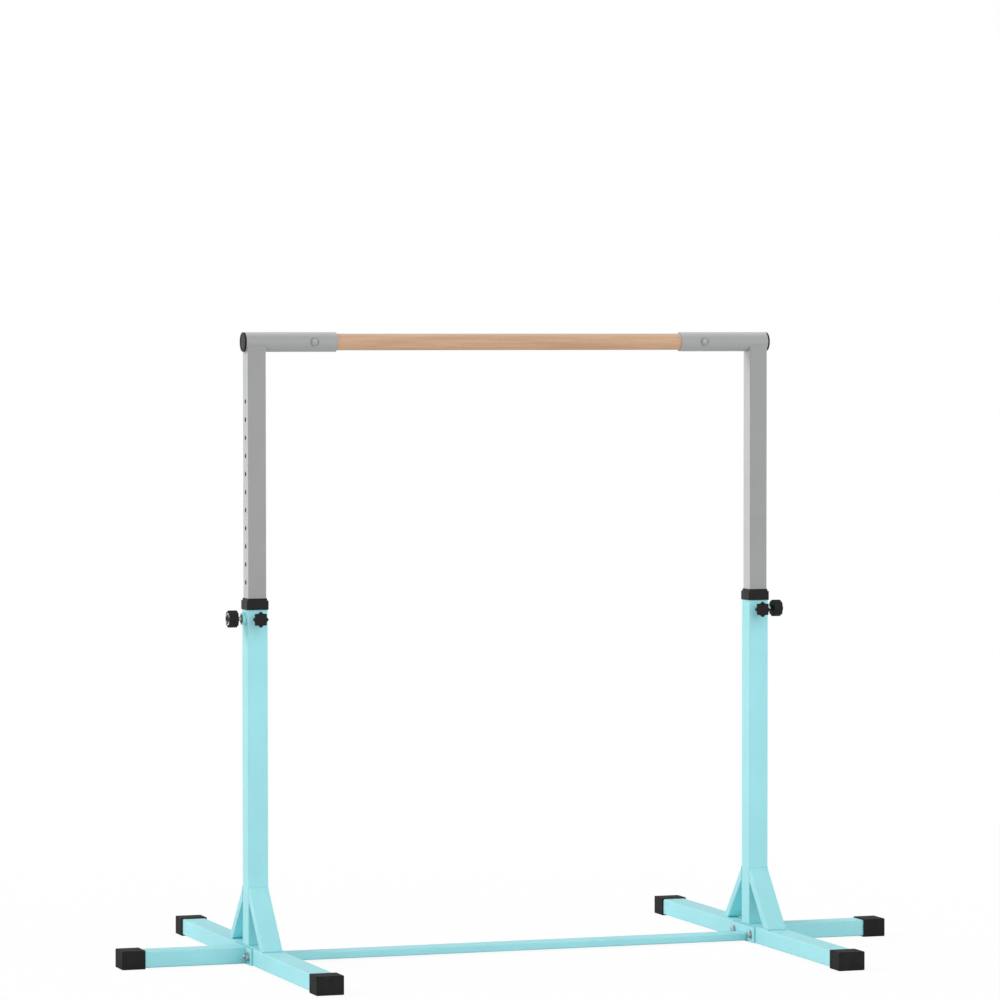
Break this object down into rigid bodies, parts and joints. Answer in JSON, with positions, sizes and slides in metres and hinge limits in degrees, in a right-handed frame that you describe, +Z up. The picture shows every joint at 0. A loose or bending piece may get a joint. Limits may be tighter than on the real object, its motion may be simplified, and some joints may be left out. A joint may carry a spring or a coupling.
{
  "type": "kip bar",
  "caption": "Free-standing gymnastics kip bar: a wooden rail on telescopic square posts with locking pins, on braced base tubes with side outriggers and a floor beam.",
  "frame": {"origin": "on the floor, midway between the two posts and midway between the front and rear base caps", "axes": "+X along the rail, +Y to the rear (the clamp knobs face -Y), +Z up"},
  "size_m": [2.009, 1.248, 1.5441],
  "materials": {
    "turquoise_paint": "satin powder coat",
    "grey_paint": "satin powder coat",
    "beech_rail": "fine sanded, bare",
    "black_plastic": "fine moulded texture",
    "knob_plastic": "fine moulded texture",
    "zinc_steel": "bright zinc plated"
  },
  "bodies": {
    "base_frame": {"flange_bolts": "zinc_steel", "flange_nuts": "zinc_steel", "flange_washers": "zinc_steel", "floor_beam_flanges": "turquoise_paint", "floor_beam_tube": "turquoise_paint", "foot_bolts": "zinc_steel", "foot_weld_nuts": "zinc_steel", "left_base_end_caps": "black_plastic", "left_base_tube": "turquoise_paint", "left_clamp_boss": "turquoise_paint", "left_foot_plate": "turquoise_paint", "left_front_brace": "turquoise_paint", "left_lower_post": "turquoise_paint", "left_outrigger_end_cap": "black_plastic", "left_outrigger_flange": "turquoise_paint", "left_outrigger_tube": "turquoise_paint", "left_pin_boss": "turquoise_paint", "left_pin_bushing": "black_plastic", "left_post_collar": "black_plastic", "left_rear_brace": "turquoise_paint", "right_base_end_caps": "black_plastic", "right_base_tube": "turquoise_paint", "right_clamp_boss": "turquoise_paint", "right_foot_plate": "turquoise_paint", "right_front_brace": "turquoise_paint", "right_lower_post": "turquoise_paint", "right_outrigger_end_cap": "black_plastic", "right_outrigger_flange": "turquoise_paint", "right_outrigger_tube": "turquoise_paint", "right_pin_boss": "turquoise_paint", "right_pin_bushing": "black_plastic", "right_post_collar": "black_plastic", "right_rear_brace": "turquoise_paint"},
    "carriage": {"left_post_glide": "black_plastic", "left_rail_sleeve": "grey_paint", "left_sleeve_end_cap": "black_plastic", "left_upper_post": "grey_paint", "rail": "beech_rail", "rail_bolts": "zinc_steel", "rail_nuts": "zinc_steel", "rail_washers": "zinc_steel", "right_post_glide": "black_plastic", "right_rail_sleeve": "grey_paint", "right_sleeve_end_cap": "black_plastic", "right_upper_post": "grey_paint"},
    "left_pin_screw": {"left_pin_stud": "zinc_steel"},
    "left_pin_grip": {"left_pin_knob": "knob_plastic"},
    "left_clamp_screw": {"left_clamp_stud": "zinc_steel"},
    "left_clamp_grip": {"left_clamp_knob": "knob_plastic"},
    "right_pin_screw": {"right_pin_stud": "zinc_steel"},
    "right_pin_grip": {"right_pin_knob": "knob_plastic"},
    "right_clamp_screw": {"right_clamp_stud": "zinc_steel"},
    "right_clamp_grip": {"right_clamp_knob": "knob_plastic"}
  },
  "joints": [
    {"name": "height_adjust", "type": "slide", "parent": "base_frame", "child": "carriage", "axis": [0, 0, 1], "range_m": [-0.5304, 0]},
    {"name": "left_pin_travel", "type": "slide", "parent": "base_frame", "child": "left_pin_screw", "axis": [-1, 0, 0], "range_m": [0, 0.00525]},
    {"name": "left_pin_turn", "type": "hinge", "parent": "left_pin_screw", "child": "left_pin_grip", "pos_m": [-0.659, 0, 0.8444], "axis": [-1, 0, 0], "range_deg": [0, 1080]},
    {"name": "left_clamp_travel", "type": "slide", "parent": "base_frame", "child": "left_clamp_screw", "axis": [0, -1, 0], "range_m": [0, 0.0025]},
    {"name": "left_clamp_turn", "type": "hinge", "parent": "left_clamp_screw", "child": "left_clamp_grip", "pos_m": [-0.659, 0, 0.8444], "axis": [0, -1, 0], "range_deg": [0, 720]},
    {"name": "right_pin_travel", "type": "slide", "parent": "base_frame", "child": "right_pin_screw", "axis": [1, 0, 0], "range_m": [0, 0.00525]},
    {"name": "right_pin_turn", "type": "hinge", "parent": "right_pin_screw", "child": "right_pin_grip", "pos_m": [0.659, 0, 0.8444], "axis": [1, 0, 0], "range_deg": [0, 1080]},
    {"name": "right_clamp_travel", "type": "slide", "parent": "base_frame", "child": "right_clamp_screw", "axis": [0, -1, 0], "range_m": [0, 0.0025]},
    {"name": "right_clamp_turn", "type": "hinge", "parent": "right_clamp_screw", "child": "right_clamp_grip", "pos_m": [0.659, 0, 0.8444], "axis": [0, -1, 0], "range_deg": [0, 720]}
  ],
  "couplings": [
    {"joint": "left_pin_turn", "follows": "left_pin_travel", "rad_per_m": 3590.4},
    {"joint": "left_clamp_turn", "follows": "left_clamp_travel", "rad_per_m": 5026.5},
    {"joint": "right_pin_turn", "follows": "right_pin_travel", "rad_per_m": 3590.4},
    {"joint": "right_clamp_turn", "follows": "right_clamp_travel", "rad_per_m": 5026.5}
  ]
}
